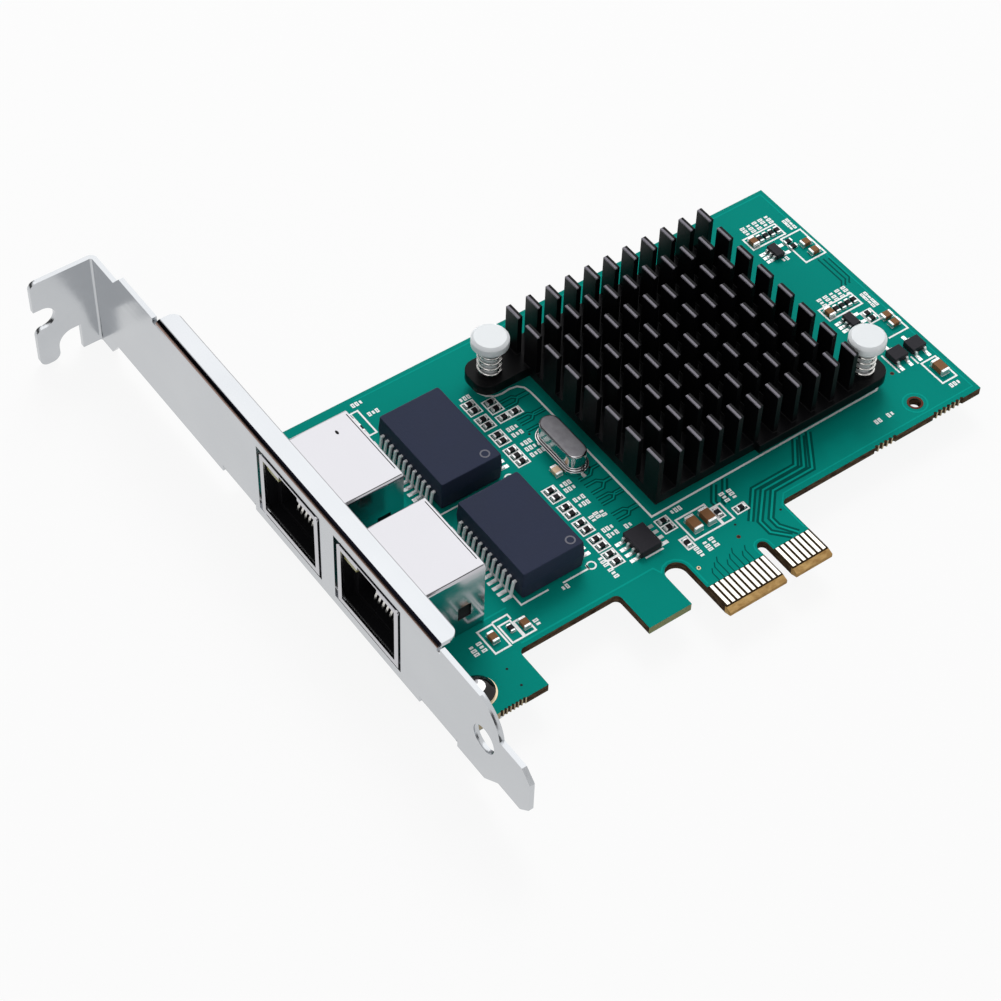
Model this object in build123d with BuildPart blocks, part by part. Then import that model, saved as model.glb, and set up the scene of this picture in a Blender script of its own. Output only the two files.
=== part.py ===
from build123d import *
import os

# Dual-port network interface card with a full-height bracket. Sizes are in millimetres.
# Origin: on the bracket's outer face, level with the contact tips and the board's upper side.
# +X runs from the bracket into the case, +Y along the bracket to its screw tab, +Z off the board.

os.makedirs("parts", exist_ok=True)

# Circuit board
board_thickness = 1.57
board_start = 1.4
board_end = 109.8
board_top = 68.9
board_step = 12.5
inner_corner = 1.0
foot_end = 16.5
foot_low = 4.9
hook_width = 8.1
hook_low = 4.6
relief_width = 3.9
relief_top = 12.6
spare_hole_x = 98.7
spare_hole_y = 16.1
spare_hole_radius = 1.0

# Perforations left along the lower edge where the board was broken out of its panel
perforation_radius = 0.35
perforation_pitch = 0.95
foot_perforation_radius = 0.24
foot_perforation_pitch = 0.68
foot_perforation_x = 10.0
middle_perforation_x = 89.3
far_perforation_x = 102.8

# Edge connector
tongue_start = 47.2
tongue_width = 20.3
key_offset = 12.15
key_width = 1.9
key_depth = 8.05
bevel_length = 1.2
bevel_depth = 0.42
pad_pitch = 1.0
pad_width = 0.7
pad_margin = 0.65
pad_top = 5.6
pad_thickness = 0.05
pad_gap = 0.1
near_pads = 11
far_pads = 7
sense_pad_top = 4.0

# Bracket sheet
sheet = 0.86
bracket_length = 120.02
tab_seat = 107.6
tongue_tip_width = 10.19
tongue_tip_low = 0.2
tongue_tip_length = 7.3
tongue_shoulder = 3.3
tongue_chamfer = 2.0
shoulder_bulge = 1.1
rear_hole_from_tip = 11.02
rear_hole_z = 6.9
rear_hole_radius = 2.5

# Screw tab
tab_reach = 11.43
tab_bend_inner = 0.4
root_low = -5.5
root_width = 18.9
root_length = 3.6
root_long_side = 6.8
root_slope = 2.2
slot_width = 4.42
slot_depth = 3.8
slot_z = 5.05
slot_flare = 1.4
lobe_width = 3.7
lobe_round = 1.5
notch_width = 4.3
notch_top = 0.0
notch_round = 2.8
tab_corner = 1.4

# Flange over the jacks, and the two ears under the board
flange_start = 10.4
flange_end = 87.5
flange_reach = 3.95
flange_bend = 1.0
flange_corner = 1.6
flange_clearance = 1.53
flange_relief = 0.8
ear_relief = 0.35
ear_x = 7.0
ear_reach = 11.3
ear_half_width = 4.5
ear_near_y = 9.8
ear_spacing = 54.6
ear_bend = 1.3
ear_corner = 3.4

# Bracket screws
screw_radius = 1.45
screw_clearance = 0.15
screw_head_radius = 2.75
screw_head_height = 1.7
screw_head_edge = 0.5
screw_end = -3.2

# Jacks
jack_width = 16.0
jack_height = 13.6
jack_front = -0.2
jack_back = 15.4
jack_near_y = 27.9
jack_pitch = 21.2
jack_standoff = 0.1
cutout_gap = 0.35
cutout_far_gap = 1.15
cutout_low = -0.6
can_sheet = 0.3
can_lip = 1.0
can_notch_width = 5.0
can_window_width = 2.4
can_window_low = 3.6
can_window_height = 2.8
can_window_from_back = 2.4
can_tail_x = 8.2
can_tail_width = 1.4
housing_gap = 0.05
housing_setback = 0.35
housing_standoff = 0.3
housing_rim = 0.5
housing_recess = 1.75
housing_foot_radius = 1.0
housing_foot_inset = 1.5
plug_width = 11.9
plug_low = 2.0
plug_height = 6.7
plug_depth = 10.4
latch_width = 6.1
latch_height = 1.7
catch_width = 3.3
catch_height = 1.6
lamp_width = 3.3
lamp_height = 2.0
lamp_depth = 5.7
lamp_inset = 0.9
lamp_gap = 0.05
contact_count = 8
contact_pitch = 1.02
contact_width = 0.45
contact_thickness = 0.3
contact_front = 3.4
contact_lean = 0.9
contact_reach = 8.2
contact_knee = 2.05
contact_rise = 0.3

# Magnetics modules
module_near_x = 22.4
module_width = 11.7
module_length = 17.6
module_height = 5.7
module_stand = 0.35
module_near_y = 28.4
module_pitch = 21.4
module_draft = 4
module_lead_count = 12
module_lead_pitch = 1.27
lead_width = 0.45
lead_thickness = 0.25
lead_reach = 1.7
lead_foot = 0.8

# Heat sink
sink_near_x = 49.4
sink_low_y = 21.7
sink_side = 40.0
sink_low = 2.2
sink_base = 1.9
sink_top = 12.5
fin_columns = 11
fin_rows = 8
fin_thickness = 0.9
fin_length = 3.3
sink_ear_width = 6.8
sink_ear_margin = 3.7
sink_ear_corner = 2.6

# Push pins
pin_near_x = 43.8
pin_near_y = 58.2
pin_far_x = 93.5
pin_far_y = 24.1
pin_hole_radius = 1.5
pin_shank_radius = 1.35
pin_head_radius = 3.15
pin_head_height = 1.7
pin_head_edge = 0.5
pin_head_top = 12.0
pin_barb_radius = 1.9
pin_barb_tip = 0.8
pin_barb_length = 2.1
spring_radius = 1.9
spring_wire = 0.42
spring_turns = 4.5
spring_gap = 0.05

# Controller chip under the heat sink
chip_side = 17.0
chip_height = 1.65
thermal_pad_side = 19.0

# Crystal
crystal_x = 45.1
crystal_y = 40.1
crystal_length = 11.3
crystal_width = 4.6
crystal_base = 0.9
crystal_can_length = 10.3
crystal_can_width = 3.7
crystal_height = 4.2
crystal_foot_length = 0.5
crystal_foot_width = 0.6
crystal_foot_thickness = 0.15

# Small outline chips: an eight-lead memory, two five-lead drivers and two three-lead regulators
flash_x = 44.2
flash_y = 18.2
flash_width = 3.9
flash_length = 4.9
flash_height = 1.55
flash_pitch = 1.27
driver_x = 101.8
driver_near_y = 35.7
driver_far_y = 55.4
driver_width = 1.6
driver_length = 2.9
driver_height = 1.1
driver_pitch = 0.95
regulator_near_x = 102.9
regulator_far_x = 106.8
regulator_y = 25.5
regulator_width = 2.9
regulator_depth = 2.5
regulator_height = 1.25
regulator_pitch = 1.9
small_lead_width = 0.42
small_lead_thickness = 0.18
small_lead_reach = 0.95
small_lead_foot = 0.45
chip_stand = 0.1

# Chip parts: length, width, height, and the length of each end cap
large_chip = (3.0, 1.65, 1.1, 0.45)
medium_chip = (2.0, 1.25, 0.8, 0.4)
small_chip = (1.5, 0.8, 0.45, 0.3)

# Rows and columns of the chip parts, and their places: x, y, and whether turned along the bracket
bank_rows = (59.5, 39.4)
bank_pitch = 1.25
bank_count = 4
edge_x = 105.3
edge_rows = (56.3, 54.9, 35.7, 34.4)
outer_x = 107.6
outer_rows = (54.3, 52.0, 33.4, 31.4)
column_x = 38.8
column_rows = (56.7, 55.2, 52.9, 51.4, 48.9, 47.4, 45.0, 43.6, 42.2)
column_rows += (34.7, 33.1, 30.7, 29.1, 26.8, 25.2, 22.9, 21.3, 19.3, 17.6)
resistor_places = [(column_x, y, False) for y in column_rows]
resistor_places += [(41.9, 55.2, False), (41.9, 53.6, False), (41.9, 51.4, False), (44.1, 51.4, False)]
resistor_places += [(49.6, 19.8, False), (49.6, 18.3, False), (50.0, 14.2, True), (61.3, 15.0, False)]
resistor_places += [(57.7, 16.3, True), (21.4, 65.0, True), (21.6, 62.3, True), (17.9, 16.4, True)]
resistor_places += [(driver_x + i * bank_pitch, y, True) for y in bank_rows for i in range(bank_count)]
resistor_places += [(edge_x, y, False) for y in edge_rows]
medium_places = [(outer_x, y, False) for y in outer_rows]
medium_places += [(100.3, 59.4, True), (100.2, 39.3, True), (14.6, 16.4, True), (20.1, 15.9, True)]
medium_places += [(41.9, 37.3, True)]
large_places = [(53.0, 16.4, True), (55.7, 16.4, True), (107.0, 19.4, True)]

# Solder joints under the board, and the plated rings on it
joint_radius = 0.85
joint_height = 1.3
joint_tip_radius = 0.25
jack_pin_x = (11.0, 13.5)
lamp_pin_x = 6.0
lamp_pin_pitch = 2.5
screw_ring_radius = 3.05
spare_ring_radius = 1.35

# Values worked out from the ones above
board_low = -board_thickness
tongue_end = tongue_start + tongue_width
key_x = tongue_start + key_offset
hook_end = tongue_start - relief_width
hook_start = hook_end - hook_width
bracket_tip = tab_seat - bracket_length
rear_hole_y = bracket_tip + rear_hole_from_tip
face_low = board_low - sheet
face_high = jack_height + flange_clearance + sheet
root_high = root_low + root_width
ear_rows = (ear_near_y, ear_near_y + ear_spacing)
jack_rows = (jack_near_y, jack_near_y + jack_pitch)
module_rows = (module_near_y, module_near_y + module_pitch)
sink_x = sink_near_x + sink_side / 2
sink_y = sink_low_y + sink_side / 2
sink_floor = sink_low + sink_base
fin_pitch_x = (sink_side - fin_thickness) / (fin_columns - 1)
fin_pitch_y = (sink_side - fin_length) / (fin_rows - 1)
pin_places = {"left": (pin_near_x, pin_near_y), "right": (pin_far_x, pin_far_y)}


def save(piece, name):
    # Label the finished piece and write it as its own file.
    piece.part.label = name
    export_step(piece.part, f"parts/{name}.step")


def column(centre, pitch, count):
    # Evenly spaced places about a centre.
    return [centre + pitch * (i - (count - 1) / 2) for i in range(count)]


def gull_lead(rise, reach, foot, thickness):
    # Side view of a lead: out of the body, down, and flat along the board.
    knee = reach - foot
    drop = rise - thickness
    half = thickness / 2
    return [
        (0, rise + half),
        (knee / 2 + half, rise + half),
        (knee + half, thickness),
        (reach, thickness),
        (reach, 0),
        (knee - half, 0),
        (knee / 2 - half, drop + half),
        (0, drop + half),
    ]


def lead_row(ends, outward, rise, reach, foot, thickness, width):
    # Equal leads at the given body edges, all pointing outward.
    along = Vector(*outward).cross(Vector(0, 0, 1))
    with BuildPart() as row:
        for end in ends:
            with BuildSketch(Plane(origin=end, x_dir=outward, z_dir=along)):
                with BuildLine():
                    Polyline(*gull_lead(rise, reach, foot, thickness), close=True)
                make_face()
            extrude(amount=width / 2, both=True)
    return row.part


# Circuit board: one outline with a foot, a hook, the keyed tongue and its relief slot
foot_perforations = column(foot_perforation_x, foot_perforation_pitch, 7)
edge_perforations = column(middle_perforation_x, perforation_pitch, 5)
edge_perforations += column(far_perforation_x, perforation_pitch, 7)
with BuildPart() as circuit_board:
    with BuildSketch(Plane.XY.offset(board_low)) as outline:
        with BuildLine():
            Polyline(
                (board_start, board_top),
                (board_end, board_top),
                (board_end, board_step),
                (tongue_end, board_step),
                (tongue_end, 0),
                (tongue_start, 0),
                (tongue_start, relief_top - relief_width / 2),
                (hook_end, relief_top - relief_width / 2),
                (hook_end, hook_low),
                (hook_start, hook_low),
                (hook_start, board_step),
                (foot_end, board_step),
                (foot_end, foot_low),
                (board_start, foot_low),
                close=True,
            )
        make_face()
        inner = [
            vertex
            for vertex in outline.vertices()
            if abs(vertex.Y - board_step) < 0.01 and vertex.X < board_end - 1
        ]
        fillet(inner, radius=inner_corner)
        with Locations((hook_end + relief_width / 2, relief_top - relief_width / 2)):
            Circle(relief_width / 2, mode=Mode.SUBTRACT)
        with Locations((key_x, key_depth - key_width / 2)):
            Circle(key_width / 2, mode=Mode.SUBTRACT)
        with Locations((key_x, (key_depth - key_width / 2) / 2)):
            Rectangle(key_width, key_depth - key_width / 2, mode=Mode.SUBTRACT)
        with Locations(*[(ear_x, y) for y in ear_rows]):
            Circle(screw_radius + screw_clearance, mode=Mode.SUBTRACT)
        with Locations(*pin_places.values()):
            Circle(pin_hole_radius, mode=Mode.SUBTRACT)
        with Locations((spare_hole_x, spare_hole_y)):
            Circle(spare_hole_radius, mode=Mode.SUBTRACT)
        with Locations(*[(x, foot_low) for x in foot_perforations]):
            RegularPolygon(foot_perforation_radius, 8, mode=Mode.SUBTRACT)
        with Locations(*[(x, board_step) for x in edge_perforations]):
            RegularPolygon(perforation_radius, 8, mode=Mode.SUBTRACT)
    extrude(amount=board_thickness)
    with BuildSketch(Plane.YZ.offset(tongue_start)):
        with BuildLine():
            Polyline((0, 0), (bevel_length, 0), (0, -bevel_depth), close=True)
        make_face()
        with BuildLine():
            Polyline((0, board_low), (bevel_length, board_low), (0, board_low + bevel_depth), close=True)
        make_face()
    extrude(amount=tongue_width, mode=Mode.SUBTRACT)
save(circuit_board, "circuit_board")

# Edge contacts: eleven pads before the key and seven after it, on both sides of the tongue
near_pad_places = [tongue_start + pad_margin + pad_pitch * i for i in range(near_pads)]
far_pad_places = [tongue_end - pad_margin - pad_pitch * (far_pads - 1 - i) for i in range(far_pads)]
pad_low = bevel_length + pad_gap
top_sense_pad = far_pad_places[-2]
under_sense_pad = near_pad_places[0]
with BuildPart() as edge_contacts:
    for height, sense_pad, way in ((0, top_sense_pad, 1), (board_low, under_sense_pad, -1)):
        with BuildSketch(Plane.XY.offset(height)):
            for x in near_pad_places + far_pad_places:
                high = sense_pad_top if x == sense_pad else pad_top
                with Locations((x, (pad_low + high) / 2)):
                    Rectangle(pad_width, high - pad_low)
        extrude(amount=way * pad_thickness)
save(edge_contacts, "edge_contacts")

# Bracket: a punched face with the screw tab, the flange and the two ears folded from it
shoulder_y = bracket_tip + tongue_tip_length
tongue_tip_high = tongue_tip_low + tongue_tip_width
root_step = tab_seat - root_length
root_long_step = tab_seat - root_long_side
tab_bend_outer = tab_bend_inner + sheet
cutout_width = jack_width + cutout_gap + cutout_far_gap
cutout_high = jack_height + cutout_gap
with BuildPart() as bracket:
    with BuildSketch(Plane.YZ):
        with BuildLine():
            Polyline(
                (shoulder_y, tongue_tip_high),
                (bracket_tip + tongue_chamfer, tongue_tip_high),
                (bracket_tip, tongue_tip_high - tongue_chamfer),
                (bracket_tip, tongue_tip_low + tongue_chamfer),
                (bracket_tip + tongue_chamfer, tongue_tip_low),
                (shoulder_y, tongue_tip_low),
                (shoulder_y + tongue_shoulder, face_low),
                (root_step - root_slope, face_low),
                (root_step, root_low),
                (tab_seat - tab_bend_inner, root_low),
                (tab_seat - tab_bend_inner, root_high),
                (root_long_step, root_high),
                (root_long_step - root_slope, face_high),
                (shoulder_y + tongue_shoulder * 1.5, face_high),
            )
            SagittaArc(
                (shoulder_y + tongue_shoulder * 1.5, face_high),
                (shoulder_y, tongue_tip_high),
                -shoulder_bulge,
            )
        make_face()
        with Locations((rear_hole_y, rear_hole_z)):
            Circle(rear_hole_radius, mode=Mode.SUBTRACT)
        for y in ear_rows:
            with Locations((y, face_low + ear_bend / 2)):
                Rectangle(2 * (ear_half_width + ear_relief), ear_bend, mode=Mode.SUBTRACT)
        with Locations(((flange_start + flange_end) / 2, face_high - flange_bend / 2)):
            Rectangle(flange_end - flange_start + 2 * flange_relief, flange_bend, mode=Mode.SUBTRACT)
        for y in jack_rows:
            with Locations((y + (cutout_far_gap - cutout_gap) / 2, (cutout_high + cutout_low) / 2)):
                Rectangle(cutout_width, cutout_high - cutout_low, mode=Mode.SUBTRACT)
    extrude(amount=sheet)
    # The flange turns inwards over the jacks with a round fold
    with BuildSketch(Plane.XZ.offset(-flange_end)):
        with BuildLine():
            Polyline(
                (flange_bend, face_high),
                (flange_reach, face_high),
                (flange_reach, face_high - sheet),
                (flange_bend, face_high - sheet),
            )
            RadiusArc(
                (flange_bend, face_high - sheet),
                (sheet, face_high - flange_bend),
                flange_bend - sheet,
            )
            Line((sheet, face_high - flange_bend), (0, face_high - flange_bend))
            RadiusArc((0, face_high - flange_bend), (flange_bend, face_high), flange_bend)
        make_face()
    extrude(amount=flange_end - flange_start)
    flange_tips = (
        bracket.edges()
        .filter_by(Axis.Z)
        .filter_by_position(Axis.X, flange_reach - 0.01, flange_reach + 0.01)
    )
    fillet(flange_tips, radius=flange_corner)
    # The ears turn inwards under the board
    for y in ear_rows:
        with BuildSketch(Plane.XZ.offset(-y)):
            with BuildLine():
                Polyline(
                    (ear_bend, face_low),
                    (ear_reach, face_low),
                    (ear_reach, board_low),
                    (ear_bend, board_low),
                )
                RadiusArc((ear_bend, board_low), (sheet, face_low + ear_bend), -(ear_bend - sheet))
                Line((sheet, face_low + ear_bend), (0, face_low + ear_bend))
                RadiusArc((0, face_low + ear_bend), (ear_bend, face_low), -ear_bend)
            make_face()
        extrude(amount=ear_half_width, both=True)
    ear_tips = (
        bracket.edges()
        .filter_by(Axis.Z)
        .filter_by_position(Axis.X, ear_reach - 0.01, ear_reach + 0.01)
    )
    fillet(ear_tips, radius=ear_corner)
    with BuildSketch(Plane.XY.offset(face_low)):
        with Locations(*[(ear_x, y) for y in ear_rows]):
            Circle(screw_radius + screw_clearance / 3)
    extrude(amount=sheet, mode=Mode.SUBTRACT)
    # The fold of the screw tab, then the tab with its slot, lobe and notch
    with BuildSketch(Plane.XY.offset(root_low)):
        with BuildLine():
            RadiusArc(
                (sheet, tab_seat - tab_bend_inner),
                (-tab_bend_inner, tab_seat + sheet),
                -tab_bend_outer,
            )
            Line((-tab_bend_inner, tab_seat + sheet), (-tab_bend_inner, tab_seat))
            RadiusArc((-tab_bend_inner, tab_seat), (0, tab_seat - tab_bend_inner), tab_bend_inner)
            Line((0, tab_seat - tab_bend_inner), (sheet, tab_seat - tab_bend_inner))
        make_face()
    extrude(amount=root_width)
    with BuildSketch(Plane.XZ.offset(-(tab_seat + sheet))) as tab:
        tab_mid = (-tab_reach - tab_bend_inner) / 2
        tab_width = tab_reach - tab_bend_inner
        with Locations((tab_mid, (root_low + root_high) / 2)):
            Rectangle(tab_width, root_width)
        notch_start = -tab_reach + lobe_width
        with Locations((notch_start + notch_width / 2, (notch_top + root_low) / 2)):
            Rectangle(notch_width, notch_top - root_low, mode=Mode.SUBTRACT)
        notch_corner = tab.vertices().sort_by_distance((notch_start, notch_top))[0]
        fillet(notch_corner, radius=notch_round)
        lobe_corners = [
            tab.vertices().sort_by_distance((-tab_reach, root_low))[0],
            tab.vertices().sort_by_distance((notch_start, root_low))[0],
        ]
        fillet(lobe_corners, radius=lobe_round)
        fillet(tab.vertices().sort_by_distance((-tab_reach, root_high))[0], radius=tab_corner)
        with Locations((-tab_reach + slot_depth / 2 - slot_width / 4, slot_z)):
            Rectangle(slot_depth - slot_width / 2, slot_width, mode=Mode.SUBTRACT)
        with Locations((-tab_reach + slot_depth - slot_width / 2, slot_z)):
            Circle(slot_width / 2, mode=Mode.SUBTRACT)
        fillet(tab.vertices().sort_by_distance((-tab_reach, slot_z - slot_width / 2))[0], radius=slot_flare)
    extrude(amount=sheet)
save(bracket, "bracket")

# Bracket screws: domed heads on the board, shanks down through the board into the ears
dome_rise = screw_head_height - screw_head_edge
screw_dome_radius = (screw_head_radius**2 + dome_rise**2) / (2 * dome_rise)
with BuildPart() as bracket_screws:
    for y in ear_rows:
        with BuildSketch(Plane.XZ.offset(-y)):
            with BuildLine():
                Polyline(
                    (ear_x, screw_head_height),
                    (ear_x, screw_end),
                    (ear_x + screw_radius, screw_end),
                    (ear_x + screw_radius, pad_thickness),
                    (ear_x + screw_head_radius, pad_thickness),
                    (ear_x + screw_head_radius, screw_head_edge),
                )
                RadiusArc(
                    (ear_x + screw_head_radius, screw_head_edge),
                    (ear_x, screw_head_height),
                    -screw_dome_radius,
                )
            make_face()
        revolve(axis=Axis((ear_x, y, 0), (0, 0, 1)))
save(bracket_screws, "bracket_screws")

# Jacks: a folded can, a moulded housing with the plug opening, its contacts and lamps
cavity_top = plug_low + plug_height
lamp_y = jack_width / 2 - can_lip - lamp_width / 2
lamp_z = jack_height - can_sheet - housing_gap - lamp_inset - lamp_height / 2
housing_width = jack_width - 2 * (can_sheet + housing_gap)
housing_front = jack_front + can_sheet + housing_setback
housing_back = jack_back - can_sheet - housing_gap
housing_face = housing_front + housing_recess
housing_low = jack_standoff + housing_standoff
housing_high = jack_height - can_sheet - housing_gap
contact_knee_x = contact_front + contact_lean
contact_knee_z = plug_low + contact_knee
contact_end_x = contact_front + contact_reach
contact_end_z = contact_knee_z + contact_rise
for number, y in enumerate(jack_rows, start=1):
    with BuildPart() as jack_shield:
        with BuildSketch(Plane.YZ.offset(jack_front)):
            with Locations((y, (jack_standoff + jack_height) / 2)):
                Rectangle(jack_width, jack_height - jack_standoff)
        extrude(amount=jack_back - jack_front)
        fillet(jack_shield.edges().filter_by(Axis.X).group_by(Axis.Z)[-1], radius=2 * can_sheet)
        with BuildSketch(Plane.YZ.offset(jack_front + can_sheet)):
            with Locations((y, (jack_standoff + jack_height - can_sheet) / 2)):
                Rectangle(jack_width - 2 * can_sheet, jack_height - can_sheet - jack_standoff)
        extrude(amount=jack_back - jack_front - 2 * can_sheet, mode=Mode.SUBTRACT)
        with BuildSketch(Plane.YZ.offset(jack_front)):
            with Locations((y, (jack_standoff + jack_height) / 2)):
                Rectangle(jack_width - 2 * can_lip, jack_height - jack_standoff - 2 * can_lip)
            with Locations((y, jack_height - (can_sheet + can_lip) / 2)):
                Rectangle(can_notch_width, can_lip - can_sheet)
        extrude(amount=can_sheet, mode=Mode.SUBTRACT)
        # A stamped window in each side wall, and a solder tail under it
        with BuildSketch(Plane.XZ.offset(-y)):
            window_x = jack_back - can_window_from_back - can_window_width / 2
            with Locations((window_x, can_window_low + can_window_height / 2)):
                Rectangle(can_window_width, can_window_height)
        extrude(amount=jack_width, both=True, mode=Mode.SUBTRACT)
        with BuildSketch(Plane.XY.offset(jack_standoff)):
            for side in (-1, 1):
                with Locations((can_tail_x, y + side * (jack_width - can_sheet) / 2)):
                    Rectangle(can_tail_width, can_sheet)
        extrude(amount=-jack_standoff)
    save(jack_shield, f"jack_shield_{number}")

    with BuildPart() as jack_housing:
        with BuildSketch(Plane.YZ.offset(housing_front)):
            with Locations((y, (housing_low + housing_high) / 2)):
                Rectangle(housing_width, housing_high - housing_low)
        extrude(amount=housing_back - housing_front)
        # A rim round a recessed face, with the stepped plug opening in it
        with BuildSketch(Plane.YZ.offset(housing_front)):
            with Locations((y, (housing_low + housing_high) / 2)):
                Rectangle(housing_width - 2 * housing_rim, housing_high - housing_low - 2 * housing_rim)
        extrude(amount=housing_recess, mode=Mode.SUBTRACT)
        with BuildSketch(Plane.YZ.offset(housing_face)):
            with Locations((y, plug_low + plug_height / 2)):
                Rectangle(plug_width, plug_height)
            with Locations((y, cavity_top + latch_height / 2)):
                Rectangle(latch_width, latch_height)
            with Locations((y, cavity_top + latch_height + catch_height / 2)):
                Rectangle(catch_width, catch_height)
        extrude(amount=plug_depth, mode=Mode.SUBTRACT)
        with BuildSketch(Plane.YZ.offset(housing_front)):
            with Locations((y + lamp_y, lamp_z)):
                Rectangle(lamp_width, lamp_height)
        extrude(amount=lamp_depth, mode=Mode.SUBTRACT)
        # Feet that stand the housing on the board
        with BuildSketch(Plane.XY.offset(housing_low)):
            for side in (-1, 1):
                for x in (housing_face + housing_foot_inset, housing_back - housing_foot_inset):
                    with Locations((x, y + side * plug_width / 2)):
                        Circle(housing_foot_radius)
        extrude(amount=-housing_low)
    save(jack_housing, f"jack_housing_{number}")

    with BuildPart() as jack_lamps:
        with BuildSketch(Plane.YZ.offset(housing_front)):
            with Locations((y + lamp_y, lamp_z)):
                Rectangle(lamp_width - 2 * lamp_gap, lamp_height - 2 * lamp_gap)
        extrude(amount=lamp_depth)
    save(jack_lamps, f"jack_lamps_{number}")

    with BuildPart() as jack_contacts:
        # Each spring climbs steeply from the floor of the opening, then runs back almost level
        with BuildSketch(Plane.XZ.offset(-y)):
            with BuildLine():
                Polyline(
                    (contact_front, plug_low),
                    (contact_knee_x, contact_knee_z),
                    (contact_end_x, contact_end_z),
                    (contact_end_x, contact_end_z - contact_thickness),
                    (contact_knee_x + contact_thickness / 2, contact_knee_z - contact_thickness),
                    (contact_front + contact_thickness, plug_low),
                    close=True,
                )
            make_face()
        extrude(amount=contact_width / 2, both=True)
        one_contact = jack_contacts.part
    with BuildPart() as contact_row:
        with Locations(*[(0, shift, 0) for shift in column(0, contact_pitch, contact_count)]):
            add(one_contact)
    save(contact_row, f"jack_contacts_{number}")

# Magnetics modules: bodies that narrow above and below the parting line, twelve leads a side
module_lead_z = module_stand + module_height / 2
for number, y in enumerate(module_rows, start=1):
    module_x = module_near_x + module_width / 2
    with BuildPart() as module_body:
        with BuildSketch(Plane.XY.offset(module_lead_z)) as parting:
            with Locations((module_x, y)):
                Rectangle(module_width, module_length)
        extrude(amount=module_height / 2, taper=module_draft)
        extrude(parting.sketch, amount=-module_height / 2, taper=module_draft)
    save(module_body, f"magnetics_body_{number}")
    rows = column(y, module_lead_pitch, module_lead_count)
    near_ends = [(module_near_x, row, 0) for row in rows]
    far_ends = [(module_near_x + module_width, row, 0) for row in rows]
    with BuildPart() as module_leads:
        add(lead_row(near_ends, (-1, 0, 0), module_lead_z, lead_reach, lead_foot, lead_thickness, lead_width))
        add(lead_row(far_ends, (1, 0, 0), module_lead_z, lead_reach, lead_foot, lead_thickness, lead_width))
    save(module_leads, f"magnetics_leads_{number}")

# Heat sink: a base with two ears, and fins cut across into separate blades
with BuildPart() as heat_sink:
    with BuildSketch(Plane.XY.offset(sink_low)) as base:
        with Locations((sink_x, sink_y)):
            Rectangle(sink_side, sink_side)
        near_ear_start = pin_near_x - sink_ear_margin
        far_ear_end = pin_far_x + sink_ear_margin
        with Locations(((near_ear_start + sink_x) / 2, pin_near_y)):
            Rectangle(sink_x - near_ear_start, sink_ear_width)
        with Locations(((far_ear_end + sink_x) / 2, pin_far_y)):
            Rectangle(far_ear_end - sink_x, sink_ear_width)
        fillet(base.vertices().group_by(Axis.X)[0], radius=sink_ear_corner)
        fillet(base.vertices().group_by(Axis.X)[-1], radius=sink_ear_corner)
        with Locations(*pin_places.values()):
            Circle(pin_hole_radius, mode=Mode.SUBTRACT)
    extrude(amount=sink_base)
    with BuildSketch(Plane.XY.offset(sink_floor)):
        with Locations((sink_x, sink_y)):
            with GridLocations(fin_pitch_x, fin_pitch_y, fin_columns, fin_rows):
                Rectangle(fin_thickness, fin_length)
    extrude(amount=sink_top - sink_floor)
save(heat_sink, "heat_sink")

# Push pins with their springs, pressing the sink on the chip
pin_head_low = pin_head_top - pin_head_height
for side, (x, y) in pin_places.items():
    with BuildPart() as push_pin:
        with BuildSketch(Plane.XZ.offset(-y)):
            with BuildLine():
                Polyline(
                    (x, pin_head_top),
                    (x + pin_head_radius - pin_head_edge, pin_head_top),
                    (x + pin_head_radius, pin_head_top - pin_head_edge),
                    (x + pin_head_radius, pin_head_low),
                    (x + pin_shank_radius, pin_head_low),
                    (x + pin_shank_radius, board_low),
                    (x + pin_barb_radius, board_low),
                    (x + pin_barb_tip, board_low - pin_barb_length),
                    (x, board_low - pin_barb_length),
                    close=True,
                )
            make_face()
        revolve(axis=Axis((x, y, 0), (0, 0, 1)))
    save(push_pin, f"push_pin_{side}")

    spring_low = sink_floor + spring_gap + spring_wire / 2
    spring_height = pin_head_low - spring_gap - spring_wire / 2 - spring_low
    with BuildPart() as spring:
        with BuildLine() as coil:
            Helix(
                pitch=spring_height / spring_turns,
                height=spring_height,
                radius=spring_radius,
                center=(x, y, spring_low),
            )
        with BuildSketch(Plane(origin=coil.line @ 0, z_dir=coil.line % 0)):
            RegularPolygon(spring_wire / 2, 4)
        sweep(is_frenet=True)
    save(spring, f"push_pin_spring_{side}")

# Controller chip and the pad between it and the sink
with BuildPart() as controller_chip:
    with BuildSketch(Plane.XY):
        with Locations((sink_x, sink_y)):
            Rectangle(chip_side, chip_side)
    extrude(amount=chip_height)
save(controller_chip, "controller_chip")
with BuildPart() as thermal_pad:
    with BuildSketch(Plane.XY.offset(chip_height)):
        with Locations((sink_x, sink_y)):
            Rectangle(thermal_pad_side, thermal_pad_side)
    extrude(amount=sink_low - chip_height)
save(thermal_pad, "thermal_pad")

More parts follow.
